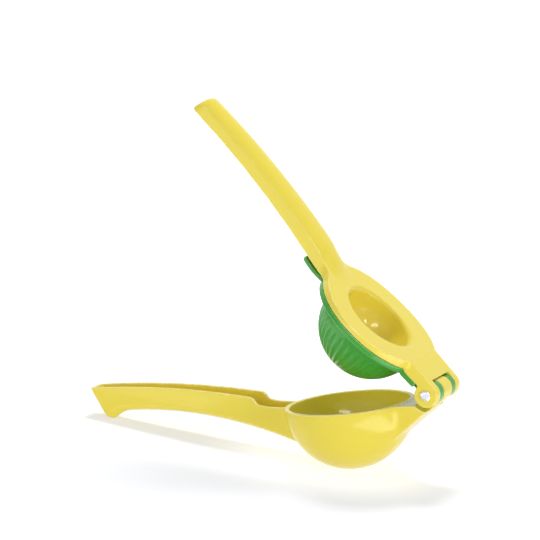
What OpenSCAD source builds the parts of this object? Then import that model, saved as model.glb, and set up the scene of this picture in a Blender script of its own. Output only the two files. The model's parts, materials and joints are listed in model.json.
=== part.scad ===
// Hinged citrus squeezer with two presses: an orange bowl, a lime cup and a presser lever on one rivet.
// Every lever is drawn lying closed, with the bowl's rim in the plane z = 0, the bowl's centre at the
// origin and the hinge on +X. The rest pose then opens the two upper levers and tilts the whole tool,
// so that it stands on the bottom of the bowl and on the foot of the handle.

/* [Bowl] */
// Outer radius of the orange bowl
bowl_r = 37.5; // [30:0.5:45]
// Wall of the bowl
bowl_wall = 2.6; // [2:0.1:4]
// Height of the straight band under the rim
rim_band = 0.9; // [0:0.1:2]
// Step from the rim down to the bracket's deck and to the neck of the handle
deck_drop = 0.3; // [0.2:0.1:1]
// Half width of the bracket at its deck
deck_w = 16; // [14:0.1:18]
// Lean of the bracket's sides towards the underside
deck_lean = 11; // [0:1:30]
// Slope of the bracket's underside
under_angle = 35.5; // [30:0.5:40]
// Depth of the small flat on the bottom of the bowl, where the tool stands
stand_cut = 0.8; // [0.4:0.1:1.2]
// Radius of one drain hole
drain_r = 2.1; // [1:0.1:3]
// Radius of the ring of drain holes
drain_ring_r = 8; // [5:0.5:14]
// Number of drain holes in the ring
drain_count = 6; // [4:1:10]

/* [Lower handle] */
// Distance from the bowl's centre to the top corner of the handle's end
lower_reach = 162.6; // [140:0.2:180]
// Distance from the bowl's centre to the foot under the handle's end
foot_reach = 153.4; // [135:0.2:172]
// Height of the foot above the rim plane, negative when it is below
foot_z = -4.7; // [-10:0.1:0]
// Depth of the flat under the foot
foot_cut = 0.3; // [0.1:0.1:0.6]
// Half width of the lower handle at its end
lower_end_w = 6.2; // [5:0.1:10]
// Half width of the lower handle at the bowl
lower_root_w = 10; // [8:0.1:14]
// Distance from the bowl's centre to the step in the side walls
step_reach = 56.4; // [50:0.1:62]
// Wall of both handles
handle_wall = 1.9; // [1.6:0.1:3.5]

/* [Upper lever] */
// Radius of the ring plate
ring_r = 38.5; // [31:0.1:46]
// Height of the ring plate's underside above the bowl's rim
plate_z = 7.9; // [6:0.1:12]
// Thickness of the ring plate at its thinnest
plate_t = 3.4; // [2.5:0.05:5]
// Radius of the dished top of the ring plate
dish_r = 228; // [150:1:400]
// Distance from the bowl's centre to the tip of the upper handle
upper_reach = 158.5; // [140:0.5:175]
// Half width of the upper handle at its tip
upper_end_w = 8.3; // [6:0.1:11]
// Half width of the upper handle at the ring
upper_root_w = 11.2; // [9:0.1:14]
// Height of the upper handle's side walls at the tip
upper_side_h = 6.6; // [4:0.1:9]
// Height of the upper handle's side walls at the ring
upper_root_h = 7.8; // [4:0.1:9]
// Rise of the rounded back of the upper handle above its side walls
crown_h = 4.2; // [2:0.1:6]
// Radius of the curve between the handle's sides and the ring
neck_r = 9; // [4:0.5:16]
// Offset of the presser and its dimple towards the hinge
press_x = 2.2; // [0:0.1:3]
// Radius of the dimple in the ring plate
dimple_r = 21.5; // [16:0.1:26]
// Shell between the dimple and the presser dome
press_wall = 2.6; // [2:0.1:4]

/* [Lime cup] */
// Outer radius of the lime cup
cup_r = 30.6; // [24:0.1:33]
// Wall of the lime cup
cup_wall = 2.2; // [1.8:0.1:3]
// Thickness of the cup's flange
flange_t = 3.4; // [2:0.1:4]
// Setback of the cup's flange behind the edge of the ring plate
flange_setback = 0.1; // [0:0.05:0.6]
// Offset of the cup and the ring towards the hinge
cup_x = 2.4; // [0:0.1:3]
// Number of flutes around the cup
flutes = 40; // [24:2:60]
// Width of a flute at its widest
flute_w = 3.6; // [1.6:0.1:4.2]
// Depth of a flute at its deepest
flute_depth = 0.9; // [0.3:0.1:1.2]
// Distance from the bowl's centre to the end of the cup's thumb tab
tab_reach = 51.6; // [44:0.1:54]
// Half width of the thumb tab
tab_w = 7.5; // [5:0.1:9]

/* [Hinge] */
// Distance from the bowl's centre to the hinge axis
hinge_x = 54.6; // [48:0.1:62]
// Height of the hinge axis above the bowl's rim
hinge_z = 5.7; // [4:0.1:8]
// Radius of the outer ears and of the knuckles
ear_r = 7; // [5.5:0.1:9]
// Width of each outer ear
ear_w = 6; // [4:0.1:8]
// Width of each knuckle of the lime cup
cup_knuckle_w = 6; // [4:0.1:8]
// Width of the bowl's central knuckle
mid_knuckle_w = 12; // [8:0.1:16]
// Side gap between neighbouring knuckles
side_gap = 0.25; // [0.1:0.05:0.6]
// Radius of the rivet's shank
pin_r = 2.5; // [2:0.1:3.5]
// Running clearance of the rivet in its bores
pin_gap = 0.06; // [0.02:0.01:0.1]
// Radius of the rivet's heads
head_r = 3.2; // [2.6:0.1:4.5]
// Height of the rivet's heads
head_h = 1.1; // [0.6:0.1:2]
// Clearance of the ears in the scallops of the bowl's bracket
scallop_gap = 3.4; // [1:0.1:4]

/* [Pose] */
// Opening angle of the two upper levers at rest
open_angle = 48.6; // [0:0.1:110]

/* [Hidden] */
$fn = 96;
eps = 0.01;
yellow = [0.9, 0.85, 0.33];
green = [0.24, 0.62, 0.25];
silver = [0.78, 0.78, 0.8];

// Hinge stack, from the middle outwards
knuckle_in = mid_knuckle_w / 2 + side_gap;
knuckle_out = knuckle_in + cup_knuckle_w;
slot_w = knuckle_out + side_gap;
hinge_w = slot_w + ear_w;
bracket_w = hinge_w;

// Bowl and cup shells
bowl_cz = -rim_band;
bowl_in_r = bowl_r - bowl_wall;
flange_r = ring_r - flange_setback;
cup_z = plate_z - 0.2;
cup_cz = cup_z - flange_t - 0.15;
press_cz = plate_z + 1.5;
press_r = dimple_r + press_wall;

// Sections of the lower handle: every curve is an arc seen from the side
function arc_z(x, x0, z0, r) = z0 - pow(x - x0, 2) / (2 * r);
function mix(a, b, t) = a + (b - a) * max(0, min(1, t));
function smooth(t) = let(u = max(0, min(1, t))) u * u * (3 - 2 * u);

wall_top_r = 537;
wall_top_x = -152;
wall_top_z = 14.4;
under_r = 244;
under_x = -136;
under_z = -0.7;
foot_start_x = -140;
foot_round = 2.4;
under_crown = 3.4;
foot_curve_r = pow(foot_reach - foot_round + foot_start_x, 2) / (2 * (under_z - foot_z));
function lower_top_z(x) = arc_z(x, wall_top_x, wall_top_z, wall_top_r);
function foot_drop(x) = pow(max(0, foot_start_x - x), 2) / (2 * foot_curve_r);
function foot_lift(x) = let(d = max(0, -foot_reach + foot_round - x))
    foot_round - sqrt(max(0, foot_round * foot_round - d * d));
function lower_under_z(x) = arc_z(max(x, under_x), under_x, under_z, under_r)
    - foot_drop(x) + foot_lift(x);
function lower_w(x) = mix(lower_end_w, lower_root_w, (x + lower_reach) / (lower_reach - bowl_r));

// Sections of the upper handle
edge_r = 553;
edge_x = -161;
edge_z = 20.9;
tip_round = 5;
tip_narrowing = 2.5;
crown_fade = 20;
crown_end_x = -33;
root_drop = 0.5;
function upper_edge_z(x) = max(plate_z + root_drop, arc_z(x, edge_x, edge_z, edge_r));
function tip_scale(x) = let(d = max(0, -upper_reach + tip_round - x) / tip_round)
    sqrt(max(0, 1 - d * d));
function upper_w(x) = mix(upper_end_w, upper_root_w, (x + upper_reach) / (upper_reach - bowl_r))
    - tip_narrowing * (1 - tip_scale(x));
function upper_crown(x) = crown_h * smooth((crown_end_x - x) / crown_fade) * tip_scale(x);
function plate_top_z(x) = plate_z + plate_t + x * x / (2 * dish_r);
function upper_side_z(x) = min(upper_edge_z(x)
    + tip_scale(x) * mix(upper_side_h, upper_root_h, (x + upper_reach) / (upper_reach - bowl_r)),
    x < -ring_r - 8 ? 100 : plate_top_z(x) - root_drop * smooth((x + ring_r + 6) / 6));

// A closed skin over rings of equally many points
module loft(rings) {
    n = len(rings[0]);
    last = len(rings) - 1;
    polyhedron(
        points = [for (ring = rings) each ring],
        faces = concat(
            [[for (j = [0 : n - 1]) j]],
            [[for (j = [n - 1 : -1 : 0]) last * n + j]],
            [for (i = [0 : last - 1], j = [0 : n - 1])
                [i * n + j, (i + 1) * n + j, (i + 1) * n + (j + 1) % n]],
            [for (i = [0 : last - 1], j = [0 : n - 1])
                [i * n + j, (i + 1) * n + (j + 1) % n, i * n + (j + 1) % n]]
        ),
        convexity = 6
    );
}

// An arched section: two straight sides of half width w from z_open to z_side, and a rounded back.
// It runs one way round for an arch that hangs down, and a negative w turns it for one that stands up.
arch_steps = 20;
arch_power = 2.6;
function arch(w, z_open, z_side, crown) = concat(
    [[-w, z_open]],
    [for (i = [0 : arch_steps])
        let(u = -cos(180 * i / arch_steps)) [u * w, z_side + crown * (1 - pow(abs(u), arch_power))]],
    [[w, z_open]]
);

// Stations along a handle, closer together where its end is rounded
function stations(x0, x1, fine, steps) = concat(
    [for (i = [0 : 7]) x0 + fine * pow(i / 8, 2)],
    [for (i = [0 : steps]) x0 + fine + (x1 - x0 - fine) * i / steps]
);

// One ring of the lower handle, leaning with the slanted end; inset draws the trough inside it
slant_fade = 45;
trough_floor_t = 2.4;
function lower_lean(x) = -(lower_reach - foot_reach) / (lower_top_z(-lower_reach) - foot_z)
    * (1 - smooth((x + foot_reach) / slant_fade));
function lower_ring(x, inset, rise) =
    let(
        zb = lower_under_z(x) + inset / handle_wall * trough_floor_t,
        z0 = lower_under_z(x) - foot_lift(x),
        lean = lower_lean(x),
        zt = lower_top_z(x + lean * (lower_top_z(x) - z0)) + rise
    )
    [for (p = arch(lower_w(x) - inset, zt, zb + under_crown, -under_crown))
        [x + lean * (p[1] - z0), p[0], p[1]]];

function upper_ring(x, inset, drop) =
    [for (p = arch(inset - upper_w(x), upper_edge_z(x) - drop,
                   upper_side_z(x) - inset, upper_crown(x)))
        [x, p[0], p[1]]];

// The tool's tilt at rest: the flats of the bowl and of the foot lie on the same floor
function touch_tilt(x) = let(drop = lower_under_z(x) - bowl_cz, out = x + lower_lean(x) * foot_lift(x))
    asin((bowl_r - stand_cut + foot_cut) / sqrt(out * out + drop * drop)) + atan(drop / -out);
tilt = min([for (i = [0 : 40]) touch_tilt(-foot_reach + eps + i * 0.2)]);

// Shift that brings the middle of the whole tool at rest over the origin: from the top corner of the
// slanted end to the back of the knuckles
end_corner = lower_ring(-foot_reach + eps, 0, 0)[0];
origin_x = (end_corner[0] * cos(tilt) - end_corner[2] * sin(tilt)
    + hinge_x * cos(tilt) - hinge_z * sin(tilt) + ear_r) / 2;

module place() {
    translate([-origin_x, 0, bowl_r - stand_cut - bowl_cz * cos(tilt)]) rotate([0, -tilt, 0]) children();
}

module opened() {
    translate([hinge_x, 0, hinge_z]) rotate([0, open_angle, 0])
        translate([-hinge_x, 0, -hinge_z]) children();
}

// ---- Lower lever: bowl, trough handle and the bracket with the central knuckle

bowl_root_x = -28;
module lower_handle() {
    loft([for (x = stations(-foot_reach + eps, bowl_root_x, 3, 26)) lower_ring(x, 0, 0)]);
}

module lower_trough() {
    end_x = -foot_reach + handle_wall - 0.3;
    difference() {
        loft([for (x = stations(end_x, bowl_root_x, 3, 26)) lower_ring(x, handle_wall, 4)]);
        translate([0, 0, bowl_cz]) sphere(bowl_r + bridge_extra);
    }
}
bridge_extra = 0.6;

// Side walls cut down between the step and the bowl, where the thumb tab lies
step_soft = 2.2;
module step_cut() {
    brow = [-step_reach, lower_top_z(-step_reach)];
    back = [-step_reach - step_soft, lower_top_z(-step_reach - step_soft)];
    toe = [-step_reach + 2.4, 1.4];
    shelf = [-step_reach + 10, 0.2];
    across(lower_root_w + 1) polygon(concat(
        [back + [0, 20]],
        bend(back, brow, brow + (toe - brow) * 0.45),
        bend(brow + (toe - brow) * 0.6, toe, toe + (shelf - toe) * 0.3),
        [shelf, [-bowl_r - 2, -deck_drop], [0, -deck_drop], [0, back[1] + 20]]
    ));
}

// A soft corner at c between the points a and b
function bend(a, c, b) = [for (i = [0 : 6]) let(t = i / 6)
    (1 - t) * (1 - t) * a + 2 * t * (1 - t) * c + t * t * b];

// Underside of the bracket: a plane that touches the knuckle and runs into the bowl
hinge_drop = hinge_z - bowl_cz;
under_dist = hinge_x * sin(under_angle) - hinge_drop * cos(under_angle) + ear_r;

module across(w) {
    rotate([90, 0, 0]) linear_extrude(2 * w, center = true) children();
}

// A cylinder about the hinge axis between two distances from the middle plane, on both sides
module about_axis(r, y0, y1) {
    for (side = [-1, 1]) translate([hinge_x, side * (y0 + y1) / 2, hinge_z])
        rotate([90, 0, 0]) cylinder(r = r, h = y1 - y0, center = true);
}

module bowl_outside() {
    translate([0, 0, bowl_cz]) difference() {
        union() {
            sphere(bowl_r);
            cylinder(r = bowl_r, h = rim_band);
        }
        translate([0, 0, rim_band]) cylinder(r = bowl_r + 1, h = bowl_r + 1);
    }
}

module lower_bracket() {
    under_x = under_dist * sin(under_angle);
    knuckle_drop = hinge_z + deck_drop;
    difference() {
        across(deck_w) polygon([
            [under_x, bowl_cz - under_dist * cos(under_angle)],
            [hinge_x + ear_r * sin(under_angle), hinge_z - ear_r * cos(under_angle)],
            [hinge_x, hinge_z],
            [hinge_x - sqrt(ear_r * ear_r - knuckle_drop * knuckle_drop), -deck_drop],
            [under_x, -deck_drop]
        ]);
        for (side = [-1, 1]) translate([0, side * deck_w, -deck_drop]) rotate([-side * deck_lean, 0, 0])
            translate([0, side > 0 ? 0 : -deck_w, -bowl_r]) cube([2 * hinge_x, deck_w, bowl_r]);
    }
    translate([hinge_x, 0, hinge_z]) rotate([90, 0, 0])
        cylinder(r = ear_r, h = mid_knuckle_w, center = true);
}

module lower_lever_closed() {
    difference() {
        union() {
            bowl_outside();
            difference() {
                lower_handle();
                step_cut();
            }
            lower_bracket();
        }
        translate([0, 0, bowl_cz]) {
            sphere(bowl_in_r);
            cylinder(r = bowl_in_r, h = rim_band + 1);
        }
        lower_trough();
        about_axis(ear_r + scallop_gap, mid_knuckle_w / 2, hinge_w);
        translate([hinge_x, 0, hinge_z]) rotate([90, 0, 0])
            cylinder(r = pin_r + pin_gap, h = mid_knuckle_w + 1, center = true);
        drain_holes(bowl_r, bowl_cz, drain_ring_r, drain_count, drain_r);
    }
}

// Drain holes through the bottom of a shell: one in the middle and a ring around it
module drain_holes(r, cz, ring, count, hole_r) {
    for (i = [0 : count]) rotate([0, 0, i * 360 / count])
        translate([i == count ? 0 : ring, 0, cz - r - 1]) cylinder(r = hole_r, h = r * 0.5);
}

module lower_lever() {
    color(yellow) difference() {
        place() lower_lever_closed();
        translate([-foot_reach, -bowl_r, -bowl_r]) cube([foot_reach + hinge_x + bowl_r, 2 * bowl_r, bowl_r]);
    }
}

// ---- Lime cup: flange with a thumb tab, fluted dome and two knuckles

// Each flute is a groove along a meridian that widens from a point under the flange and narrows to a
// point again towards the bottom, as the meridians close up
flute_top = 11;
flute_end = 68;
flute_steps = 9;
flute_rise = 0.35;
function flute_share(t) = pow(max(0, sin(180 * pow(t, 0.8))), 0.6);
function flute_ring(t) =
    let(
        low = flute_top + (flute_end - flute_top) * t,
        w = flute_w / 2 * cos(low) * (0.35 + 0.65 * flute_share(t)),
        deep = flute_depth * flute_share(t) * pow(cos(low), 0.5) - flute_rise * (t < 0.01 || t > 0.99 ? 1 : 0)
    )
    [for (q = [[-w, flute_rise], [-w * 0.62, -deep * 0.8], [0, -deep], [w * 0.62, -deep * 0.8], [w, flute_rise + 0.01]])
        [(cup_r + q[1]) * cos(low), q[0], -(cup_r + q[1]) * sin(low)]];
module cup_flutes() {
    for (i = [0 : flutes - 1]) rotate([0, 0, (i + 0.5) * 360 / flutes])
        loft([for (k = [0 : flute_steps]) flute_ring(k / flute_steps)]);
}

// Rounded corner between the flange's underside and the dome
cup_round = 2;
module cup_corner() {
    under_z = cup_z - flange_t;
    round_x = cup_r + cup_round - 0.2;
    translate([cup_x, 0, 0]) rotate_extrude() difference() {
        translate([cup_r - 1, under_z - cup_round]) square([round_x - cup_r + 1, cup_round + 0.5]);
        translate([round_x, under_z - cup_round]) circle(cup_round);
    }
}

cup_arm_z = hinge_z - 3;
cup_arm_end = hinge_x - 9;
cup_arm_w = bracket_w - 1.2;
bracket_gap = 0.3;
bracket_z = plate_z - 1.6;
bracket_x = hinge_x - 18.6;
bracket_in_x = bracket_x - 3;
module cup_arms() {
    difference() {
        union() {
            across(cup_arm_w) polygon([
                [bracket_x - 11, cup_z - flange_t], [bracket_x - 4.5, cup_z - flange_t],
                [bracket_x - 2, cup_arm_z + 0.7], [bracket_x + 0.5, cup_arm_z], [cup_arm_end, cup_arm_z],
                [cup_arm_end, bracket_z - bracket_gap], [bracket_x - 1, bracket_z - bracket_gap],
                [bracket_in_x, cup_z], [bracket_x - 11, cup_z]
            ]);
            across(knuckle_out) polygon([
                [bracket_x + 4, cup_arm_z + 0.4], [hinge_x, hinge_z - ear_r + 1.5], [hinge_x, hinge_z],
                [hinge_x - ear_r * 0.6, bracket_z - bracket_gap], [bracket_x + 4, bracket_z - bracket_gap]
            ]);
            about_axis(ear_r - 0.3, knuckle_in, knuckle_out);
        }
        translate([hinge_x, 0, hinge_z]) rotate([90, 0, 0])
            cylinder(r = ear_r + 0.6, h = 2 * knuckle_in, center = true);
        translate([hinge_x, -knuckle_in, -20]) cube([20, 2 * knuckle_in, 40]);
        about_axis(pin_r + pin_gap, knuckle_in - 1, knuckle_out + 1);
        translate([cup_x, 0, cup_cz]) cylinder(r = cup_r - cup_wall, h = 20, center = true);
    }
}

// The tab leaves the flange's edge, bends up along the handle and ends at tab_reach
module cup_tab() {
    edge = cup_x - flange_r;
    function at(t, z) = [mix(edge, -tab_reach, t), cup_z + z];
    across(tab_w) polygon([
        [edge + 6, cup_z - flange_t], [edge + 2, cup_z - 4.4], at(0.26, -4.5), at(0.51, -4.3), at(0.77, -3.6),
        at(1, -2.7), at(1, -0.3) - [0.4, 0], at(0.77, -1.3), at(0.51, -2), at(0.26, -2.2), [edge, cup_z - 1.9],
        [edge + 3, cup_z], [edge + 6, cup_z]
    ]);
}

module lime_cup_closed() {
    difference() {
        union() {
            difference() {
                translate([cup_x, 0, cup_z - flange_t]) cylinder(r = flange_r, h = flange_t);
                across(bracket_w + 0.5) polygon([
                    [bracket_in_x, cup_z], [bracket_x - 1, bracket_z - bracket_gap],
                    [60, bracket_z - bracket_gap], [60, cup_z + 5], [bracket_in_x, cup_z + 5]
                ]);
            }
            difference() {
                translate([cup_x, 0, cup_cz]) sphere(cup_r);
                translate([-50, -50, cup_z - 1]) cube([100, 100, 50]);
                translate([cup_x, 0, cup_cz]) cup_flutes();
            }
            cup_corner();
            cup_tab();
        }
        translate([cup_x, 0, cup_cz]) {
            sphere(cup_r - cup_wall);
            cylinder(r = cup_r - cup_wall, h = 20);
        }
        translate([cup_x, 0, 0]) drain_holes(cup_r, cup_cz, 7, 8, 1.6);
    }
    cup_arms();
}

module lime_cup() {
    color(green) place() opened() lime_cup_closed();
}

// ---- Upper lever: channel handle, dished ring plate with the presser dome, and the clevis

module upper_handle() {
    loft([for (x = stations(-upper_reach + 0.03, crown_end_x, tip_round, 26)) upper_ring(x, 0, 0)]);
}

channel_end_x = -41;
module upper_channel() {
    loft([for (x = stations(-upper_reach + handle_wall, channel_end_x, tip_round, 22))
        upper_ring(x, handle_wall, 5)]);
}

// The bracket's top is a plane from the crease in the ring plate to the ears, which it touches
crease_x = bracket_x;
crease_z = plate_top_z(crease_x);
crease_run = hinge_x - crease_x;
crease_rise = crease_z - hinge_z;
slope = asin(ear_r / sqrt(crease_run * crease_run + crease_rise * crease_rise))
    - atan(crease_rise / crease_run);
module upper_bracket() {
    across(bracket_w) polygon([
        [crease_x - 12, plate_z], [bracket_in_x, plate_z], [bracket_x, bracket_z], [hinge_x - ear_r + 0.1, bracket_z],
        [hinge_x, hinge_z],
        [hinge_x - ear_r * sin(slope), hinge_z + ear_r * cos(slope)],
        [crease_x, crease_z], [crease_x - 12, plate_top_z(crease_x - 12) - 0.4]
    ]);
    about_axis(ear_r, slot_w, hinge_w);
}

// The handle's sides run into the ring through a curve on either side
neck_w = upper_w(-ring_r) - 0.1;
neck_x = cup_x - sqrt(pow(ring_r + neck_r, 2) - pow(neck_w + neck_r, 2));
module ring_plate() {
    touch = ring_r / (ring_r + neck_r);
    difference() {
        translate([cup_x, 0, plate_z]) cylinder(r = ring_r, h = 9);
        translate([0, 0, plate_z + plate_t + dish_r]) rotate([90, 0, 0])
            cylinder(r = dish_r, h = 3 * ring_r, center = true, $fn = 720);
        translate([crease_x, 0, crease_z - 0.05]) rotate([0, -slope, 0])
            translate([0, -ring_r, 0]) cube([20, 2 * ring_r, 9]);
    }
    difference() {
        translate([neck_x, -(neck_w + neck_r) * touch, plate_z])
            cube([cup_x - neck_x - 20, 2 * (neck_w + neck_r) * touch, 9]);
        for (side = [-1, 1]) translate([neck_x, side * (neck_w + neck_r), plate_z - 1])
            cylinder(r = neck_r, h = 11);
        translate([0, 0, plate_z + plate_t + dish_r]) rotate([90, 0, 0])
            cylinder(r = dish_r, h = 3 * ring_r, center = true, $fn = 720);
    }
}

dimple_round = 4;
module dimple() {
    translate([press_x, 0, 0]) {
        translate([0, 0, press_cz]) sphere(dimple_r);
        rotate_extrude() difference() {
            translate([0, press_cz - 0.7]) square([dimple_r + dimple_round, 12]);
            translate([dimple_r + dimple_round, press_cz - 0.7]) circle(dimple_round);
        }
    }
}

module upper_lever_closed() {
    slot_x = hinge_x - 4.1;
    difference() {
        union() {
            ring_plate();
            upper_handle();
            upper_bracket();
            difference() {
                translate([press_x, 0, press_cz]) sphere(press_r);
                translate([-50, -50, plate_z + 1]) cube([100, 100, 50]);
            }
        }
        dimple();
        upper_channel();
        translate([slot_x, -slot_w, -10]) cube([20, 2 * slot_w, 40]);
        translate([hinge_x, 0, hinge_z]) rotate([90, 0, 0])
            cylinder(r = ear_r + 0.6, h = 2 * slot_w, center = true);
        about_axis(pin_r - press_bite, slot_w - 1, hinge_w + 1);
    }
}
press_bite = 0.02;

module upper_lever() {
    color(yellow) place() opened() upper_lever_closed();
}

// ---- Rivet: a plain shank with a low head formed on each end

module hinge_pin() {
    flat_r = 1.3;
    color(silver) place() translate([hinge_x, 0, hinge_z]) rotate([90, 0, 0]) {
        cylinder(r = pin_r, h = 2 * hinge_w, center = true);
        for (end = [0, 1]) mirror([0, 0, end]) translate([0, 0, hinge_w]) rotate_extrude()
            polygon([[0, 0], [head_r, 0], [head_r, head_h * 0.35], [head_r * 0.88, head_h * 0.75],
                     [flat_r, head_h], [0, head_h]]);
    }
}

lower_lever();
lime_cup();
upper_lever();
hinge_pin();
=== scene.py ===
"""Dresses the hinged citrus squeezer: enamelled castings, a bare rivet and a plain studio."""

import json
import math

import bmesh
import bpy
import numpy as np
from mathutils import Matrix, Vector


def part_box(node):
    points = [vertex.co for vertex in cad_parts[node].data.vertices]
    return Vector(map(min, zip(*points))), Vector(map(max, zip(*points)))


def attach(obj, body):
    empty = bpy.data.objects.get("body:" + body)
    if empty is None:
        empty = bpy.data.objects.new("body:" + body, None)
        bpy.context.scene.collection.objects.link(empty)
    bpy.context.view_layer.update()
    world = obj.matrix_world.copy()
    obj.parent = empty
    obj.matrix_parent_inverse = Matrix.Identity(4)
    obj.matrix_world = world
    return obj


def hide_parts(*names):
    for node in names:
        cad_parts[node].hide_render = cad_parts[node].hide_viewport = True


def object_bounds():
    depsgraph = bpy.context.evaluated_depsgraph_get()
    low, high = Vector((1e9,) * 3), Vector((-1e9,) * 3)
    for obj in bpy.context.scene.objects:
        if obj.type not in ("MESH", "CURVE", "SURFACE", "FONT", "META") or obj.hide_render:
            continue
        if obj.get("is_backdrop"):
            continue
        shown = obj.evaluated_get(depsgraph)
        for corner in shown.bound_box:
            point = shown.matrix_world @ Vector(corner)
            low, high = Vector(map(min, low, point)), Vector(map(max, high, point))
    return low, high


bl_info = {
    "name": "Hinged Citrus Squeezer",
    "version": (1, 1, 0),
    "blender": (4, 5, 0),
    "location": "3D View > Sidebar > Squeezer",
    "description": "Builds the castings, the flutes, the rivet and the studio of a hinged citrus squeezer",
    "category": "Object",
}

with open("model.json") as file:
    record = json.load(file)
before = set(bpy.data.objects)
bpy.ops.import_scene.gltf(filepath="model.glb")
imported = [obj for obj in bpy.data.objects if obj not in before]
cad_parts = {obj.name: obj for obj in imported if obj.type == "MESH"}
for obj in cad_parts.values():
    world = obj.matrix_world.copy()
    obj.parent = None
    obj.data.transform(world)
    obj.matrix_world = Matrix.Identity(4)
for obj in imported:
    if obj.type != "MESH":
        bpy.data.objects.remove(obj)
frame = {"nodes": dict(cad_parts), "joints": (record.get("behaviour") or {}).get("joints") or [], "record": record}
MM = 0.001
HINGE = Vector(next(j["pos_m"] for j in frame["joints"] if j["name"] == "cup_hinge"))

# The lever frame: the bowl's rim lies in its plane z = 0, with the bowl's middle at the origin and the
# hinge on +X. It stands tilted on the floor, and the two upper levers are turned open about the hinge.
RIM = next(m for m in frame["record"]["mounts"] if m["name"] == "bowl_rim")
BOWL_RIM = Vector((RIM["pos_m"][0], 0, RIM["pos_m"][2]))
TILT = math.atan2(-RIM["axis"][0], RIM["axis"][2])
OPEN = math.radians(48.6)
LEVER = Matrix.Translation(BOWL_RIM) @ Matrix.Rotation(-TILT, 4, "Y")
LEVER_HINGE = LEVER.inverted() @ HINGE
OPENED = (LEVER @ Matrix.Translation(LEVER_HINGE) @ Matrix.Rotation(OPEN, 4, "Y")
          @ Matrix.Translation(-LEVER_HINGE))


def on_lower(x, y, z):
    """A point of the lower lever, given in the lever frame in millimetres."""
    return LEVER @ (Vector((x, y, z)) * MM)


def on_upper(x, y, z):
    """A point of the upper levers, given in the lever frame in millimetres, with the levers open."""
    return OPENED @ (Vector((x, y, z)) * MM)


# ---- Settings that a user would change


class SqueezerForm(bpy.types.PropertyGroup):
    skin: bpy.props.FloatProperty(
        name="Skin cell", description="Cell size of the castings' outer skin",
        default=0.5 * MM, min=0.3 * MM, max=2 * MM, subtype="DISTANCE", unit="LENGTH", precision=5)
    cup_skin: bpy.props.FloatProperty(
        name="Cup skin cell", description="Cell size of the lime cup's outer skin",
        default=0.46 * MM, min=0.3 * MM, max=2 * MM, subtype="DISTANCE", unit="LENGTH", precision=5)
    edge_rounds: bpy.props.IntProperty(
        name="Edge softness", description="How often the levers' outer edges are relaxed",
        default=3, min=0, max=30)
    corner_rounds: bpy.props.IntProperty(
        name="Corner softness", description="How often the levers' inner corners are filled",
        default=14, min=0, max=80)
    cup_rounds: bpy.props.IntProperty(
        name="Cup softness", description="How often the lime cup's edges and corners are relaxed",
        default=3, min=0, max=30)
    flute_count: bpy.props.IntProperty(
        name="Flutes", description="Number of flutes around the lime cup", default=40, min=12, max=80)
    flute_width: bpy.props.FloatProperty(
        name="Flute width", description="Width of a flute at its widest",
        default=4.3 * MM, min=1.6 * MM, max=6 * MM, subtype="DISTANCE", unit="LENGTH", precision=5)
    flute_depth: bpy.props.FloatProperty(
        name="Flute depth", description="Depth of a flute at its deepest",
        default=0.9 * MM, min=0.2 * MM, max=1.1 * MM, subtype="DISTANCE", unit="LENGTH", precision=5)
    head_radius: bpy.props.FloatProperty(
        name="Rivet head", description="Radius of the rivet's heads",
        default=3.0 * MM, min=2.6 * MM, max=4.5 * MM, subtype="DISTANCE", unit="LENGTH", precision=5)
    head_height: bpy.props.FloatProperty(
        name="Head height", description="How far the rivet's heads stand out",
        default=1.1 * MM, min=0.6 * MM, max=2 * MM, subtype="DISTANCE", unit="LENGTH", precision=5)


class SqueezerFinish(bpy.types.PropertyGroup):
    yellow: bpy.props.FloatVectorProperty(
        name="Yellow enamel", description="Colour of the bowl lever and the presser lever",
        default=(0.765, 0.63, 0.07), size=3, subtype="COLOR", min=0, max=1)
    green: bpy.props.FloatVectorProperty(
        name="Green enamel", description="Colour of the lime cup",
        default=(0.045, 0.32, 0.03), size=3, subtype="COLOR", min=0, max=1)
    metal: bpy.props.FloatVectorProperty(
        name="Rivet", description="Colour of the bare rivet",
        default=(0.60, 0.60, 0.62), size=3, subtype="COLOR", min=0, max=1)
    gloss: bpy.props.FloatProperty(
        name="Enamel roughness", description="Roughness of the enamel",
        default=0.24, min=0.05, max=0.9, subtype="FACTOR")


class SqueezerStudio(bpy.types.PropertyGroup):
    camera_place: bpy.props.FloatVectorProperty(
        name="Camera place", description="Where the camera stands",
        default=(0.653404, -1.551172, 0.481668), size=3, subtype="TRANSLATION", unit="LENGTH")
    camera_turn: bpy.props.FloatVectorProperty(
        name="Camera turn", description="How the camera is turned",
        default=tuple(math.radians(a) for a in (77.3730, -4.9499, 24.1012)),
        size=3, subtype="EULER", unit="ROTATION")
    lens: bpy.props.FloatProperty(
        name="Lens", description="Focal length of the camera", default=200, min=20, max=400, unit="CAMERA")
    daylight: bpy.props.FloatProperty(
        name="Even light", description="Strength of the even light from all round",
        default=0.56, min=0, max=2)


# ---- Materials


def node(tree, kind, place, **values):
    """A new node at `place`, with values for its inputs and its own settings by name."""
    n = tree.nodes.new(kind)
    n.location = place
    for name, value in values.items():
        if name in n.inputs:
            n.inputs[name].default_value = value
        else:
            setattr(n, name, value)
    return n


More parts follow.
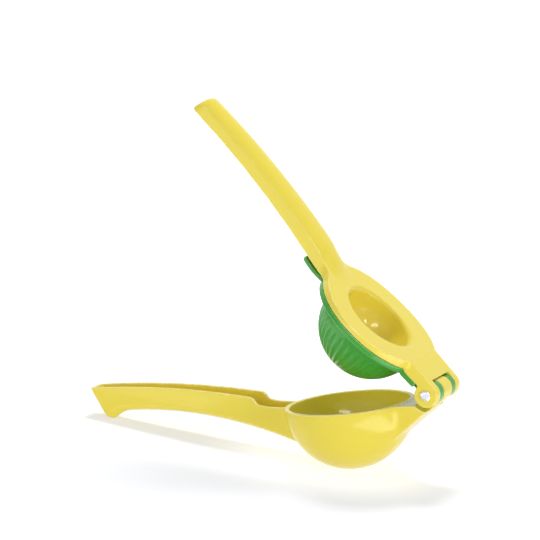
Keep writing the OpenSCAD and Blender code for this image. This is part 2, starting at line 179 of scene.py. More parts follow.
def enamel_group():
    """Sprayed enamel: orange peel, a slow drift of the colour, and a paler colour on the edges that paints their
    highlight along with a thinner coat there.
    """
    tree = bpy.data.node_groups.new("Sprayed enamel", "ShaderNodeTree")
    face = tree.interface
    for name, kind, value in (
        ("Colour", "NodeSocketColor", (0.8, 0.8, 0.8, 1)),
        ("Highlight colour", "NodeSocketColor", (0.9, 0.9, 0.9, 1)),
        ("Drift", "NodeSocketFloat", 0.05), ("Roughness", "NodeSocketFloat", 0.35),
        ("Roughness drift", "NodeSocketFloat", 0.06), ("Edge highlight strength", "NodeSocketFloat", 0.9),
    ):
        socket = face.new_socket(name, in_out="INPUT", socket_type=kind)
        socket.default_value = value
    for name, kind in (
        ("Colour", "NodeSocketColor"), ("Roughness", "NodeSocketFloat"), ("Height", "NodeSocketFloat"),
    ):
        face.new_socket(name, in_out="OUTPUT", socket_type=kind)
    link = tree.links.new
    inside = node(tree, "NodeGroupInput", (-1100, 0))
    outside = node(tree, "NodeGroupOutput", (700, 0))
    where = node(tree, "ShaderNodeTexCoord", (-1100, -300))
    slow = node(tree, "ShaderNodeTexNoise", (-850, 100), Scale=38.0, Detail=2.0)
    peel = node(tree, "ShaderNodeTexNoise", (-850, -200), Scale=620.0, Detail=2.0, Roughness=0.45)
    fine = node(tree, "ShaderNodeTexNoise", (-850, -450), Scale=160.0, Detail=3.0)
    for texture in (slow, peel, fine):
        link(where.outputs["Object"], texture.inputs["Vector"])
    centre = node(tree, "ShaderNodeMath", (-600, 100), operation="SUBTRACT")
    centre.inputs[1].default_value = 0.5
    link(slow.outputs["Fac"], centre.inputs[0])
    gain = node(tree, "ShaderNodeMath", (-400, 100), operation="MULTIPLY_ADD")
    link(centre.outputs[0], gain.inputs[0])
    link(inside.outputs["Drift"], gain.inputs[1])
    gain.inputs[2].default_value = 1.0
    # Painted highlight: where the mask of worn edges and flute ridges is high, the colour turns to the pale
    # highlight colour
    edge = node(tree, "ShaderNodeAttribute", (-850, 350), attribute_name="edge")
    crisp = node(tree, "ShaderNodeMath", (-620, 350), operation="POWER")
    crisp.inputs[1].default_value = 2.5
    highlight_share = node(tree, "ShaderNodeMath", (-400, 350), operation="MULTIPLY", use_clamp=True)
    link(edge.outputs["Fac"], crisp.inputs[0])
    link(crisp.outputs[0], highlight_share.inputs[0])
    link(inside.outputs["Edge highlight strength"], highlight_share.inputs[1])
    coat = node(tree, "ShaderNodeMix", (-150, 300), data_type="RGBA")
    link(highlight_share.outputs[0], coat.inputs[0])
    link(inside.outputs["Colour"], coat.inputs[6])
    link(inside.outputs["Highlight colour"], coat.inputs[7])
    tint = node(tree, "ShaderNodeVectorMath", (150, 200), operation="SCALE")
    link(coat.outputs[2], tint.inputs[0])
    link(gain.outputs[0], tint.inputs["Scale"])
    link(tint.outputs[0], outside.inputs["Colour"])
    rough_centre = node(tree, "ShaderNodeMath", (-600, -450), operation="SUBTRACT")
    rough_centre.inputs[1].default_value = 0.5
    link(fine.outputs["Fac"], rough_centre.inputs[0])
    rough = node(tree, "ShaderNodeMath", (-400, -450), operation="MULTIPLY_ADD")
    link(rough_centre.outputs[0], rough.inputs[0])
    link(inside.outputs["Roughness drift"], rough.inputs[1])
    link(inside.outputs["Roughness"], rough.inputs[2])
    link(rough.outputs[0], outside.inputs["Roughness"])
    link(peel.outputs["Fac"], outside.inputs["Height"])
    return tree


def enamel(name, colour, edge_colour, roughness):
    """A coat of enamel, which is paler where the mask of worn edges is high: a painted highlight along the edges,
    in part a thinner coat.
    """
    material = bpy.data.materials.new(name)
    material.use_nodes = True
    tree = material.node_tree
    tree.nodes.clear()
    link = tree.links.new
    out = node(tree, "ShaderNodeOutputMaterial", (600, 0))
    shader = node(tree, "ShaderNodeBsdfPrincipled", (300, 0), **{
        "IOR": 1.5, "Specular IOR Level": 0.1, "Coat Weight": 0.32, "Coat Roughness": 0.05})
    coat = node(tree, "ShaderNodeGroup", (-200, 0))
    coat.node_tree = bpy.data.node_groups.get("Sprayed enamel") or enamel_group()
    coat.inputs["Colour"].default_value = (*colour, 1)
    coat.inputs["Highlight colour"].default_value = (*edge_colour, 1)
    coat.inputs["Roughness"].default_value = roughness
    bump = node(tree, "ShaderNodeBump", (50, -250), Strength=0.1, Distance=0.0001)
    link(coat.outputs["Colour"], shader.inputs["Base Color"])
    link(coat.outputs["Roughness"], shader.inputs["Roughness"])
    link(coat.outputs["Height"], bump.inputs["Height"])
    link(bump.outputs["Normal"], shader.inputs["Normal"])
    link(shader.outputs[0], out.inputs[0])
    return material


def green_enamel():
    made = bpy.data.materials.get("Green enamel")
    finish = bpy.context.scene.squeezer_finish
    # The pale green edge colour is a painted highlight on the cup's edges and flute ridges
    return made or enamel("Green enamel", finish.green, (0.30, 0.58, 0.28), finish.gloss)


def yellow_enamel():
    made = bpy.data.materials.get("Yellow enamel")
    finish = bpy.context.scene.squeezer_finish
    # The pale yellow edge colour is a painted highlight along the levers' edges and creases
    return made or enamel("Yellow enamel", finish.yellow, (0.95, 0.80, 0.38), finish.gloss)


def bare_metal(name, colour):
    """Bare metal with shallow dents and an uneven sheen."""
    material = bpy.data.materials.new(name)
    material.use_nodes = True
    tree = material.node_tree
    tree.nodes.clear()
    link = tree.links.new
    out = node(tree, "ShaderNodeOutputMaterial", (600, 0))
    shader = node(tree, "ShaderNodeBsdfPrincipled", (300, 0), **{"Metallic": 1.0, "Base Color": (*colour, 1)})
    where = node(tree, "ShaderNodeTexCoord", (-900, 0))
    noise = node(tree, "ShaderNodeTexNoise", (-650, 0), Scale=900.0, Detail=3.0)
    rough = node(tree, "ShaderNodeMapRange", (-200, 0), **{"To Min": 0.18, "To Max": 0.36})
    dents = node(tree, "ShaderNodeTexNoise", (-650, -300), Scale=420.0, Detail=1.0)
    bump = node(tree, "ShaderNodeBump", (0, -300), Strength=0.15, Distance=0.0002)
    link(where.outputs["Object"], noise.inputs["Vector"])
    link(where.outputs["Object"], dents.inputs["Vector"])
    link(noise.outputs["Fac"], rough.inputs["Value"])
    link(rough.outputs["Result"], shader.inputs["Roughness"])
    link(dents.outputs["Fac"], bump.inputs["Height"])
    link(bump.outputs["Normal"], shader.inputs["Normal"])
    link(shader.outputs[0], out.inputs[0])
    return material


# ---- Skins of the castings


def plain_mesh(source, name):
    """A plain object with what the source's modifiers make of it; the source is removed."""
    graph = bpy.context.evaluated_depsgraph_get()
    mesh = bpy.data.meshes.new_from_object(source.evaluated_get(graph))
    piece = bpy.data.objects.new(name, mesh)
    bpy.context.scene.collection.objects.link(piece)
    bpy.data.objects.remove(source)
    return piece


def welded_copy(node_name):
    """The node's mesh with its loose triangles joined."""
    source = frame["nodes"][node_name]
    copy = bpy.data.objects.new(node_name + "_copy", source.data.copy())
    bpy.context.scene.collection.objects.link(copy)
    bm = bmesh.new()
    bm.from_mesh(copy.data)
    bmesh.ops.remove_doubles(bm, verts=bm.verts, dist=1e-7)
    bm.to_mesh(copy.data)
    bm.free()
    return copy


# How many triangles a skin is thinned to, and how far a point is worn where the painted edge highlight is at its
# full strength
SKIN_TRIANGLES = 190000
FULL_HIGHLIGHT_WEAR = 0.22 * MM

# The dip in the presser lever's back, in the lever frame in millimetres: its middle, how far it reaches
# along and across, how far it is lifted, and the height from which the lift starts and grows
NECK_X = -38.5
NECK_REACH = 7
NECK_HALF_WIDTH = 11
NECK_LIFT = 3.1
NECK_START = 9
NECK_GROWTH = 3


def points_of(mesh):
    """The mesh's points, one in a row."""
    points = np.empty(len(mesh.vertices) * 3)
    mesh.vertices.foreach_get("co", points)
    return points.reshape(-1, 3)


def move_points(mesh, points):
    """Puts the mesh's points at the given places."""
    mesh.vertices.foreach_set("co", points.ravel())
    mesh.update()


def point_numbers(items, width):
    """The point numbers of a mesh's edges or triangles, `width` in a row."""
    numbers = np.empty(len(items) * width, dtype=np.int64)
    items.foreach_get("vertices", numbers)
    return numbers.reshape(-1, width)


def gathered(index, values, count):
    """The sum of the rows of `values` that share an index."""
    return np.stack([np.bincount(index, values[:, k], count) for k in range(3)], axis=1)


def relaxed(mesh, wear, fill, spots):
    """Wears a skin's outer edges for `wear` rounds and fills its inner corners for `fill` rounds, and for
    more rounds near a spot, given as (middle, reach, rounds). Leaves how much a point is worn in a point
    attribute, the mask of the painted edge highlight."""
    count = len(mesh.vertices)
    points = points_of(mesh)
    edges = point_numbers(mesh.edges, 2)
    mesh.calc_loop_triangles()
    corners = point_numbers(mesh.loop_triangles, 3)
    rounds = np.full(count, float(fill))
    for middle, reach, most in spots:
        near = np.clip(1 - np.linalg.norm(points - np.array(middle), axis=1) / reach, 0, 1)
        rounds = np.maximum(rounds, most * np.clip(near * 2, 0, 1))
    worn = np.zeros(count)
    for turn in range(int(rounds.max())):
        alive = rounds > turn
        if turn >= fill:
            keep = alive[edges[:, 0]] | alive[edges[:, 1]]
            pairs = edges[keep]
            faces = corners[alive[corners].any(axis=1)]
        else:
            pairs, faces = edges, corners
        one, other = pairs.T
        degree = np.bincount(one, minlength=count) + np.bincount(other, minlength=count)
        total = gathered(one, points[other], count) + gathered(other, points[one], count)
        step = total / np.maximum(degree, 1)[:, None] - points
        step[degree == 0] = 0
        first, second, third = (points[faces[:, k]] for k in range(3))
        flat = np.cross(second - first, third - first)
        normal = sum(gathered(faces[:, k], flat, count) for k in range(3))
        normal /= np.maximum(np.linalg.norm(normal, axis=1), 1e-30)[:, None]
        out = np.einsum("ij,ij->i", step, normal)
        moves = alive & ((out > 0) | (turn < wear))
        points = points + np.where(moves, 0.5, 0.0)[:, None] * step
        if turn < wear:
            worn += np.maximum(-out, 0)
    # Painted highlight: how much a point is worn becomes the mask that paints the edges paler
    edge = mesh.attributes.new("edge", "FLOAT", "POINT")
    edge.data.foreach_set("value", np.clip(worn / FULL_HIGHLIGHT_WEAR, 0, 1))
    move_points(mesh, points)


def casting(node_name, name, material, cell, wear, fill, spots):
    """A casting's outer skin, with the soft edges and inner corners that a mould leaves."""
    body = welded_copy(node_name)
    skin = body.modifiers.new("Skin", "REMESH")
    skin.mode = "VOXEL"
    skin.voxel_size = cell
    piece = plain_mesh(body, name)
    relaxed(piece.data, wear, fill, spots)
    piece.data.materials.clear()
    piece.data.materials.append(material)
    piece.data.polygons.foreach_set("use_smooth", [True] * len(piece.data.polygons))
    return piece


def thinned(piece):
    """Drops the points that the flat and gently curved stretches of a skin can do without."""
    dense = piece.data
    dense.calc_loop_triangles()
    fewer = piece.modifiers.new("Fewer", "DECIMATE")
    fewer.ratio = min(1, SKIN_TRIANGLES / len(dense.loop_triangles))
    graph = bpy.context.evaluated_depsgraph_get()
    sparse = bpy.data.meshes.new_from_object(piece.evaluated_get(graph))
    piece.modifiers.clear()
    piece.data = sparse
    name = dense.name
    bpy.data.meshes.remove(dense)
    sparse.name = name


def raised_neck(mesh):
    """Fills the dip in the presser lever's back, where its handle runs down into the ring."""
    points = points_of(mesh)
    into = np.array(OPENED.inverted())
    x, y, z = (points @ into[:3, :3].T + into[:3, 3]).T / MM
    along = np.exp(-((x - NECK_X) / NECK_REACH) ** 2)
    across = np.clip(1 - (y / NECK_HALF_WIDTH) ** 2, 0, 1)
    lift = NECK_LIFT * along * across * np.clip((z - NECK_START) / NECK_GROWTH, 0, 1)
    up = np.array(OPENED.to_3x3() @ Vector((0, 0, 1)))
    move_points(mesh, points + lift[:, None] * MM * up)


class SQUEEZER_OT_castings(bpy.types.Operator):
    """Builds the skins of the three castings"""

    bl_idname = "squeezer.castings"
    bl_label = "Castings"

    def execute(self, context):
        form = context.scene.squeezer_form
        lever = (form.skin, form.edge_rounds, form.corner_rounds)
        cup = (form.cup_skin, form.cup_rounds, form.cup_rounds)
        yellow = yellow_enamel()
        green = green_enamel()
        both = (-1, 1)

        # Corners that a mould fills more: middle, reach and rounds. On the bowl lever the handle's walls and
        # the bracket run into the bowl, each high and low; on the presser lever the neck runs into the ring.
        bowl_spots = [(on_lower(-36, s * 9.5, -6), 14 * MM, 120) for s in both]
        bowl_spots += [(on_lower(-33, s * 9.5, -15), 12 * MM, 120) for s in both]
        bowl_spots += [(on_lower(35, s * 14, -8), 12 * MM, 120) for s in both]
        bowl_spots += [(on_lower(33, s * 10, -17), 12 * MM, 120) for s in both]
        ring_spots = [(on_upper(-38, s * 13, 12), 14 * MM, 110) for s in both]
        ring_spots += [(on_upper(-36, 0, 15), 12 * MM, 60)]
        cup_spots = [(on_upper(33, s * 16, 3), 7 * MM, 40) for s in both]
        pieces = []
        for node_name, name, body, material, slot, softness, spots in (
            ("lower_lever", "bowl_lever", "lower", yellow, "yellow_enamel", lever, bowl_spots),
            ("upper_lever", "presser_lever", "upper", yellow, "yellow_enamel", lever, ring_spots),
            ("lime_cup", "fluted_cup", "cup", green, "green_enamel", cup, cup_spots),
        ):
            piece = casting(node_name, name, material, *softness, spots)
            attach(piece, body)
            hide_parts(node_name)
            pieces.append(piece)
        raised_neck(bpy.data.objects["presser_lever"].data)
        sunk_dome(bpy.data.objects["fluted_cup"].data)
        for piece in pieces:
            thinned(piece)
        return {"FINISHED"}


# ---- Flutes of the lime cup


# The cup's dome: its middle in the lever frame in millimetres, and its radius
CUP_MIDDLE = (2.4, 0.0, 4.15)
CUP_RADIUS = 30.6 * MM

# Where the band and its flutes start and end, as angles below the plane through the dome's middle
BAND_TOP = math.radians(-8)
BAND_END = math.radians(71)
FLUTE_TOP = math.radians(11)
FLUTE_END = math.radians(68)

# The share of the band's rows that run down its outside, the share in which its inside meets the outside
# again at the top, and how far the outside lies off the dome
OUTSIDE_SHARE = 0.8
CLOSING_SHARE = 0.015
BAND_LIFT = 0.04 * MM

# Where the casting's dome is drawn in under the band, in degrees below the same plane, and how far
SINK_TOP = 4
SINK_TOP_FADE = 4
SINK_END = 67.5
SINK_END_FADE = 2.5
SINK = 1.1 * MM


def sunk_dome(mesh):
    """Draws the casting's dome in a little where the fluted band covers it."""
    into = np.array(OPENED.inverted())
    out = np.array(OPENED)
    local = points_of(mesh) @ into[:3, :3].T + into[:3, 3] - np.array(CUP_MIDDLE) * MM
    reach = np.linalg.norm(local, axis=1)
    low = np.degrees(np.arcsin(np.clip(-local[:, 2] / reach, -1, 1)))
    covered = np.clip((low - SINK_TOP) / SINK_TOP_FADE, 0, 1)
    covered *= np.clip((SINK_END - low) / SINK_END_FADE, 0, 1)
    skin = (reach > CUP_RADIUS - SINK - 0.3 * MM) & (reach < CUP_RADIUS + 0.6 * MM)
    sunk = np.minimum(reach, CUP_RADIUS - SINK)
    local *= np.where(skin, 1 + covered * (sunk / reach - 1), 1)[:, None]
    move_points(mesh, (local + np.array(CUP_MIDDLE) * MM) @ out[:3, :3].T + out[:3, 3])


def maths(tree, operation, *values, clamp=False):
    """The result of a Math node whose inputs are numbers or other nodes' outputs."""
    n = tree.nodes.new("ShaderNodeMath")
    n.operation = operation
    n.use_clamp = clamp
    for socket, value in zip(n.inputs, values):
        if isinstance(value, (int, float)):
            socket.default_value = value
        else:
            tree.links.new(value, socket)
    return n.outputs[0]


def group_inputs(tree, *sockets):
    """Adds named inputs to a node group, each given as (name, kind, default)."""
    for name, kind, value in sockets:
        socket = tree.interface.new_socket(name, in_out="INPUT", socket_type=kind)
        if value is not None:
            socket.default_value = value


def fluted_band_tree():
    """A closed band round a dome, with flutes along its meridians that open from a point under the rim,
    meet in ridges and close to a point again."""
    tree = bpy.data.node_groups.new("Fluted band", "GeometryNodeTree")
    group_inputs(
        tree, ("Count", "NodeSocketInt", 40), ("Dome radius", "NodeSocketFloat", CUP_RADIUS),
        ("Flute width", "NodeSocketFloat", 0.0043), ("Flute depth", "NodeSocketFloat", 0.0009),
        ("Top", "NodeSocketFloat", BAND_TOP), ("End", "NodeSocketFloat", BAND_END),
        ("Flute top", "NodeSocketFloat", FLUTE_TOP), ("Flute end", "NodeSocketFloat", FLUTE_END),
        ("Wall", "NodeSocketFloat", 1.3 * MM), ("Rows", "NodeSocketInt", 66),
        ("Steps per flute", "NodeSocketInt", 14), ("Turn", "NodeSocketRotation", None),
        ("Place", "NodeSocketVector", None), ("Material", "NodeSocketMaterial", None))
    tree.interface.new_socket("Geometry", in_out="OUTPUT", socket_type="NodeSocketGeometry")
    link = tree.links.new
    given = node(tree, "NodeGroupInput", (-2400, 0)).outputs

    def m(operation, *values, clamp=False):
        return maths(tree, operation, *values, clamp=clamp)

    sheet = node(tree, "GeometryNodeMeshGrid", (-600, 400), **{"Size X": 1.0, "Size Y": 1.0})
    link(given["Rows"], sheet.inputs["Vertices X"])
    link(m("MULTIPLY_ADD", given["Count"], given["Steps per flute"], 1), sheet.inputs["Vertices Y"])
    where = node(tree, "GeometryNodeInputPosition", (-2400, -300))
    split = node(tree, "ShaderNodeSeparateXYZ", (-2200, -300))
    link(where.outputs[0], split.inputs[0])
    along = m("ADD", split.outputs["X"], 0.5)
    around = m("ADD", split.outputs["Y"], 0.5)

    # The first rows run down the outside, the rest come back up inside the wall
    outside = m("LESS_THAN", along, OUTSIDE_SHARE + 0.001)
    down = m("DIVIDE", along, OUTSIDE_SHARE)
    back = m("MULTIPLY", m("SUBTRACT", 1, along), 1 / (1 - OUTSIDE_SHARE))
    share = m("ADD", m("MULTIPLY", outside, down), m("MULTIPLY", m("SUBTRACT", 1, outside), back), clamp=True)
    low = m("MULTIPLY_ADD", share, m("SUBTRACT", given["End"], given["Top"]), given["Top"])

    # How far along its flute a point lies, and how far from the flute's middle
    length = m("SUBTRACT", given["Flute end"], given["Flute top"])
    reach = m("DIVIDE", m("SUBTRACT", low, given["Flute top"]), length, clamp=True)
    swell = m("POWER", m("MAXIMUM", m("SINE", m("MULTIPLY", m("POWER", reach, 0.8), math.pi)), 0), 0.6)
    turns = m("MULTIPLY", around, given["Count"])
    aside = m("ABSOLUTE", m("SUBTRACT", m("FRACT", turns), 0.5))
    pitch = m("DIVIDE", m("MULTIPLY", given["Dome radius"], 2 * math.pi), given["Count"])
    half = m("MULTIPLY", m("MULTIPLY", given["Flute width"], 0.5), m("MULTIPLY_ADD", swell, 0.75, 0.25))
    off = m("DIVIDE", m("MULTIPLY", aside, pitch), half)
    scoop = m("SUBTRACT", 1, m("POWER", off, 1.7), clamp=True)
    shallow = m("POWER", m("COSINE", low), 0.5)
    depth = m("MULTIPLY", m("MULTIPLY", scoop, given["Flute depth"]), m("MULTIPLY", swell, shallow))

    # The outside sinks into the casting at its lower end; the inside meets the outside at the top
    tuck = m("MULTIPLY", m("SUBTRACT", low, m("SUBTRACT", given["End"], 0.05)), 20, clamp=True)
    full = m("ADD", given["Dome radius"], BAND_LIFT)
    outer = m("SUBTRACT", m("SUBTRACT", full, depth), m("MULTIPLY", tuck, given["Wall"]))
    closing = m("MULTIPLY", m("SUBTRACT", along, 1 - CLOSING_SHARE), 1 / CLOSING_SHARE, clamp=True)
    inner = m("MULTIPLY_ADD", m("SUBTRACT", closing, 1), given["Wall"], full)
    radius = m("ADD", m("MULTIPLY", outside, outer), m("MULTIPLY", m("SUBTRACT", 1, outside), inner))

    bearing = m("MULTIPLY", around, 2 * math.pi)
    level = m("MULTIPLY", radius, m("COSINE", low))
    spot = node(tree, "ShaderNodeCombineXYZ", (-200, -200))
    link(m("MULTIPLY", level, m("COSINE", bearing)), spot.inputs["X"])
    link(m("MULTIPLY", level, m("SINE", bearing)), spot.inputs["Y"])
    link(m("MULTIPLY", radius, m("MULTIPLY", m("SINE", low), -1)), spot.inputs["Z"])

    # A painted highlight on the ridges between the flutes, strongest where the flutes are deep, kept in the same
    # mask as the levers' worn edges
    ridge_highlight = m("MULTIPLY", m("MULTIPLY", m("SUBTRACT", off, 0.9), 5, clamp=True), m("MULTIPLY", swell, 0.3))

    kept = node(tree, "GeometryNodeStoreNamedAttribute", (-400, 400),
                data_type="FLOAT", domain="POINT", Name="edge")
    link(sheet.outputs["Mesh"], kept.inputs["Geometry"])
    link(ridge_highlight, kept.inputs["Value"])
    bent = node(tree, "GeometryNodeSetPosition", (0, 300))
    link(kept.outputs["Geometry"], bent.inputs["Geometry"])
    link(spot.outputs[0], bent.inputs["Position"])
    closed = node(tree, "GeometryNodeMergeByDistance", (200, 300), Distance=0.000005)
    link(bent.outputs["Geometry"], closed.inputs["Geometry"])
    stand = node(tree, "GeometryNodeTransform", (400, 300))
    link(closed.outputs["Geometry"], stand.inputs["Geometry"])
    link(given["Turn"], stand.inputs["Rotation"])
    link(given["Place"], stand.inputs["Translation"])
    smooth = node(tree, "GeometryNodeSetShadeSmooth", (600, 300))
    link(stand.outputs["Geometry"], smooth.inputs["Geometry"])
    real = node(tree, "GeometryNodeRealizeInstances", (800, 300))
    link(smooth.outputs["Geometry"], real.inputs["Geometry"])
    coat = node(tree, "GeometryNodeSetMaterial", (1000, 300))
    link(real.outputs["Geometry"], coat.inputs["Geometry"])
    link(given["Material"], coat.inputs["Material"])
    out = node(tree, "NodeGroupOutput", (1200, 300))
    link(coat.outputs["Geometry"], out.inputs["Geometry"])
    return tree


def grown(name, tree, **values):
    """A plain mesh object grown by a Geometry Nodes tree; values are set by their sockets' identifiers."""
    seed = bpy.data.objects.new(name + "_seed", bpy.data.meshes.new(name + "_seed"))
    bpy.context.scene.collection.objects.link(seed)
    grow = seed.modifiers.new("Grow", "NODES")
    grow.node_group = tree
    for item in tree.interface.items_tree:
        key = item.name.replace(" ", "_")
        if item.item_type == "SOCKET" and item.in_out == "INPUT" and key in values:
            grow[item.identifier] = values[key]
    return plain_mesh(seed, name)


class SQUEEZER_OT_flutes(bpy.types.Operator):
    """Builds the fluted band of the lime cup"""

    bl_idname = "squeezer.flutes"
    bl_label = "Cup flutes"

    def execute(self, context):
        form = context.scene.squeezer_form
        piece = grown(
            "cup_flutes", fluted_band_tree(), Count=form.flute_count, Dome_radius=CUP_RADIUS,
            Flute_width=form.flute_width, Flute_depth=form.flute_depth, Top=BAND_TOP, End=BAND_END,
            Flute_top=FLUTE_TOP, Flute_end=FLUTE_END, Turn=tuple(OPENED.to_euler()),
            Place=tuple(on_upper(*CUP_MIDDLE)), Material=green_enamel())
        bm = bmesh.new()
        bm.from_mesh(piece.data)
        bmesh.ops.recalc_face_normals(bm, faces=bm.faces)
        bm.to_mesh(piece.data)
        bm.free()
        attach(piece, "cup")
        return {"FINISHED"}


# ---- Rivet


# The rivet's shank, the flat middle of a head, and the rounding between its rim and that flat
SHANK_RADIUS = 2.5 * MM
HEAD_FLAT = 1.35 * MM
HEAD_STEPS = 10
HEAD_FULLNESS = 0.9


class SQUEEZER_OT_rivet(bpy.types.Operator):
    """Builds the rivet: a plain shank with a low, flat-topped head formed on each end"""

    bl_idname = "squeezer.rivet"
    bl_label = "Rivet"

    def execute(self, context):
        form = context.scene.squeezer_form
        low, high = (Vector(c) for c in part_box("hinge_pin"))
        half = (high.y - low.y) / 2 - form.head_height
        lip = half + form.head_height * 0.3
        top = half + form.head_height
        outline = [(SHANK_RADIUS, 0.0), (SHANK_RADIUS, half)]
        outline += [(form.head_radius, half), (form.head_radius, lip)]
        for i in range(1, HEAD_STEPS + 1):
            a = math.pi / 2 * i / HEAD_STEPS
            r = HEAD_FLAT + (form.head_radius - HEAD_FLAT) * math.cos(a) ** HEAD_FULLNESS
            outline.append((r, lip + (top - lip) * math.sin(a) ** HEAD_FULLNESS))
        outline.append((0.0, top))
        outline = [(r, -y) for r, y in reversed(outline)] + outline[1:]
        bm = bmesh.new()
        spots = [bm.verts.new((r, y, 0)) for r, y in outline]
        rim = [bm.edges.new(pair) for pair in zip(spots, spots[1:])]
        bmesh.ops.spin(bm, geom=spots + rim, cent=(0, 0, 0), axis=(0, 1, 0), angle=2 * math.pi, steps=72)
        bmesh.ops.remove_doubles(bm, verts=bm.verts, dist=1e-7)
        bmesh.ops.recalc_face_normals(bm, faces=bm.faces)
        bmesh.ops.translate(bm, verts=bm.verts, vec=HINGE)
        mesh = bpy.data.meshes.new("rivet")
        bm.to_mesh(mesh)
        bm.free()
        piece = bpy.data.objects.new("rivet", mesh)
        context.scene.collection.objects.link(piece)
        mesh.materials.append(bare_metal("Rivet metal", context.scene.squeezer_finish.metal))
        mesh.polygons.foreach_set("use_smooth", [True] * len(mesh.polygons))
        mesh.set_sharp_from_angle(angle=math.radians(40))
        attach(piece, "upper")
        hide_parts("hinge_pin")
        return {"FINISHED"}


# ---- Studio


# Name, place, target, size and power. The lamps shed light and are not seen in reflections; the cards are
# seen in reflections and shed no light.
LAMPS = (
    ("Key", (1.30, -0.50, 0.22), (0.0, 0.0, 0.08), (0.5, 0.5), 5.9),
    ("Top", (-0.14, 0.42, 1.05), (0.0, 0.0, 0.05), (0.22, 0.22), 6.4),
    ("Front", (-0.3, -1.7, 0.35), (0.0, 0.0, 0.08), (1.0, 0.6), 5.8),
)
CARDS = (
    ("Glint", (1.05, -0.55, 0.52), (0.05, 0.0, 0.08), (0.12, 0.16), 2.0),
    ("Window", (0.60, -0.95, 0.78), (0.0, 0.0, 0.12), (0.45, 0.25), 6),
)

# Where the bowl stands on the floor
BOWL_FOOT = (0.045, 0, 0)

# Cards that lie on the floor and face up: name, place, turn about the vertical, size and power
FLOOR_CARDS = (
    ("Low window", (0.256, -0.087, 0.003), math.radians(-18), (0.285, 0.12), 0.4),
    ("Table", (-0.48, -0.80, 0.003), 0, (0.84, 1.5), 6),
)


def aim(obj, target):
    """Turns a lamp to face the target."""
    obj.rotation_euler = (Vector(target) - obj.location).to_track_quat("-Z", "Y").to_euler()


def softbox(name, place, size, power, card):
    """An area lamp that only sheds light, or a card that only shows in reflections."""
    data = bpy.data.lights.new(name, "AREA")
    data.shape = "RECTANGLE"
    data.size, data.size_y = size
    data.energy = power
    lamp = bpy.data.objects.new(name, data)
    bpy.context.scene.collection.objects.link(lamp)
    lamp.location = place
    lamp.visible_camera = False
    lamp.visible_diffuse = not card
    lamp.visible_glossy = card
    return lamp


def straight_view(tree, place):
    """A mask that is 1 for camera, glossy and transmission rays."""
    x, y = place
    path = node(tree, "ShaderNodeLightPath", place)
    shown = node(tree, "ShaderNodeMath", (x + 200, y), operation="ADD", use_clamp=True)
    seen = node(tree, "ShaderNodeMath", (x + 350, y), operation="ADD", use_clamp=True)
    tree.links.new(path.outputs["Is Camera Ray"], shown.inputs[0])
    tree.links.new(path.outputs["Is Glossy Ray"], shown.inputs[1])
    tree.links.new(shown.outputs[0], seen.inputs[0])
    tree.links.new(path.outputs["Is Transmission Ray"], seen.inputs[1])
    return seen.outputs[0]


def floor_material():
    """Pale floor that takes the tool's shadow. It glows for rays that see it straight, more so away from the tool
    and right under the bowl, where the extra glow paints out the bowl's contact shadow, and evenly for all others."""
    material = bpy.data.materials.new("White floor")
    material.use_nodes = True
    tree = material.node_tree
    tree.nodes.clear()
    link = tree.links.new
    out = node(tree, "ShaderNodeOutputMaterial", (600, 0))
    both = node(tree, "ShaderNodeAddShader", (400, 0))
    # Painted light: the matte floor is slightly blue, which cancels the yellow light that the castings bounce onto
    # it
    matte = node(tree, "ShaderNodeBsdfDiffuse", (100, 100), Color=(0.53, 0.535, 0.57, 1))
    glow = node(tree, "ShaderNodeEmission", (100, -100), Color=(1, 1, 1, 1))
    where = node(tree, "ShaderNodeTexCoord", (-900, -300))
    far = node(tree, "ShaderNodeVectorMath", (-700, -300), operation="LENGTH")
    lift = node(tree, "ShaderNodeMapRange", (-500, -300), interpolation_type="SMOOTHSTEP", **{
        "From Min": 0.12, "From Max": 0.22, "To Min": 0.46, "To Max": 0.85})
    # Painted light: the floor glows more right under the bowl, which paints out the bowl's contact shadow
    foot = node(tree, "ShaderNodeVectorMath", (-700, -500), operation="DISTANCE")
    foot.inputs[1].default_value = BOWL_FOOT
    bowl_shadow_glow = node(tree, "ShaderNodeMapRange", (-500, -500), interpolation_type="SMOOTHSTEP", **{
        "From Min": 0.02, "From Max": 0.09, "To Min": 0.74, "To Max": 0.46})
    strength = node(tree, "ShaderNodeMath", (-300, -350), operation="MAXIMUM")
    bounce = node(tree, "ShaderNodeMix", (-100, -100), A=0.5)
    link(where.outputs["Object"], far.inputs[0])
    link(where.outputs["Object"], foot.inputs[0])
    link(far.outputs["Value"], lift.inputs["Value"])
    link(foot.outputs["Value"], bowl_shadow_glow.inputs["Value"])
    link(lift.outputs["Result"], strength.inputs[0])
    link(bowl_shadow_glow.outputs["Result"], strength.inputs[1])
    link(strength.outputs[0], bounce.inputs["B"])
    link(straight_view(tree, (-600, -100)), bounce.inputs["Factor"])
    link(bounce.outputs["Result"], glow.inputs["Strength"])
    link(matte.outputs[0], both.inputs[0])
    link(glow.outputs[0], both.inputs[1])
    link(both.outputs[0], out.inputs[0])
    return material


def white_world(daylight):
    """Even light of the given strength from all round, which shows as plain white."""
    world = bpy.data.worlds.new("Studio")
    world.use_nodes = True
    tree = world.node_tree
    tree.nodes.clear()
    link = tree.links.new
    out = node(tree, "ShaderNodeOutputWorld", (400, 0))
    mix = node(tree, "ShaderNodeMixShader", (200, 0))
    soft = node(tree, "ShaderNodeBackground", (0, 100), Color=(1, 1, 1, 1), Strength=daylight)
    white = node(tree, "ShaderNodeBackground", (0, -100), Color=(1, 1, 1, 1), Strength=1.0)
    link(straight_view(tree, (-600, 0)), mix.inputs[0])
    link(soft.outputs[0], mix.inputs[1])
    link(white.outputs[0], mix.inputs[2])
    link(mix.outputs[0], out.inputs[0])
    return world


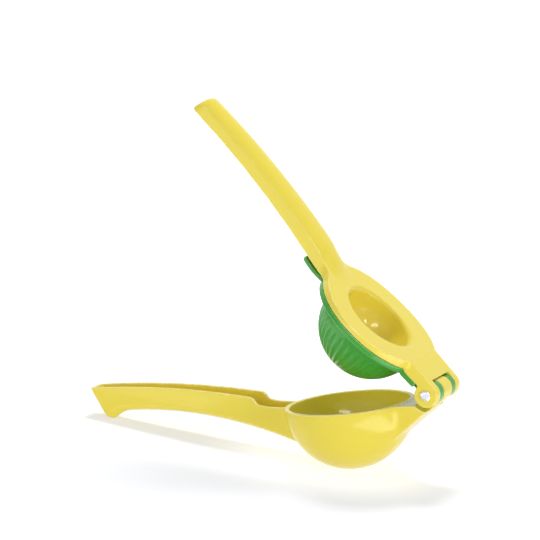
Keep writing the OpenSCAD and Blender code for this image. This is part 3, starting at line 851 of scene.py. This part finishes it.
class SQUEEZER_OT_studio(bpy.types.Operator):
    """Builds the floor, the lamps, the world and the camera"""

    bl_idname = "squeezer.studio"
    bl_label = "Studio"

    def execute(self, context):
        studio = context.scene.squeezer_studio
        scene = context.scene
        bm = bmesh.new()
        bmesh.ops.create_grid(bm, x_segments=1, y_segments=1, size=6)
        mesh = bpy.data.meshes.new("floor")
        bm.to_mesh(mesh)
        bm.free()
        floor = bpy.data.objects.new("floor", mesh)
        scene.collection.objects.link(floor)
        floor.data.materials.append(floor_material())
        floor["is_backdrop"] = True

        scene.world = white_world(studio.daylight)
        for name, place, target, size, power in LAMPS:
            aim(softbox(name, place, size, power, card=False), target)
        for name, place, target, size, power in CARDS:
            aim(softbox(name, place, size, power, card=True), target)
        for name, place, turn, size, power in FLOOR_CARDS:
            softbox(name, place, size, power, card=True).rotation_euler = (math.pi, 0, turn)

        camera = bpy.data.objects.new("Camera", bpy.data.cameras.new("Camera"))
        scene.collection.objects.link(camera)
        camera.location = studio.camera_place
        camera.rotation_euler = studio.camera_turn
        camera.data.lens = studio.lens
        camera.data.sensor_width = 36
        camera.data.clip_end = 20
        scene.camera = camera
        scene.view_settings.view_transform = "Standard"
        return {"FINISHED"}


class SQUEEZER_PT_panel(bpy.types.Panel):
    """Lists the squeezer's sizes, finishes and pieces"""

    bl_label = "Squeezer"
    bl_idname = "SQUEEZER_PT_panel"
    bl_space_type = "VIEW_3D"
    bl_region_type = "UI"
    bl_category = "Squeezer"

    def draw(self, context):
        scene = context.scene
        for group in (scene.squeezer_form, scene.squeezer_finish, scene.squeezer_studio):
            box = self.layout.box()
            for name in group.bl_rna.properties.keys():
                if name not in {"rna_type", "name"}:
                    box.prop(group, name)
        for operator in STEPS:
            self.layout.operator(operator)


GROUPS = {"squeezer_form": SqueezerForm, "squeezer_finish": SqueezerFinish, "squeezer_studio": SqueezerStudio}
STEPS = ("squeezer.studio", "squeezer.castings", "squeezer.flutes", "squeezer.rivet")
CLASSES = (*GROUPS.values(), SQUEEZER_OT_castings, SQUEEZER_OT_flutes, SQUEEZER_OT_rivet, SQUEEZER_OT_studio,
           SQUEEZER_PT_panel)


def register():
    for cls in CLASSES:
        bpy.utils.register_class(cls)
    for name, group in GROUPS.items():
        setattr(bpy.types.Scene, name, bpy.props.PointerProperty(type=group))


def unregister():
    for name in GROUPS:
        delattr(bpy.types.Scene, name)
    for cls in reversed(CLASSES):
        bpy.utils.unregister_class(cls)


def corners():
    """The two corners of the box round all that is visible."""
    return [[float(x) for x in corner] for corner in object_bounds()]


def main():
    register()
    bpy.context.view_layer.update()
    for step in STEPS:
        area, name = step.split(".")
        getattr(getattr(bpy.ops, area), name)()


if __name__ == "__main__":
    main()
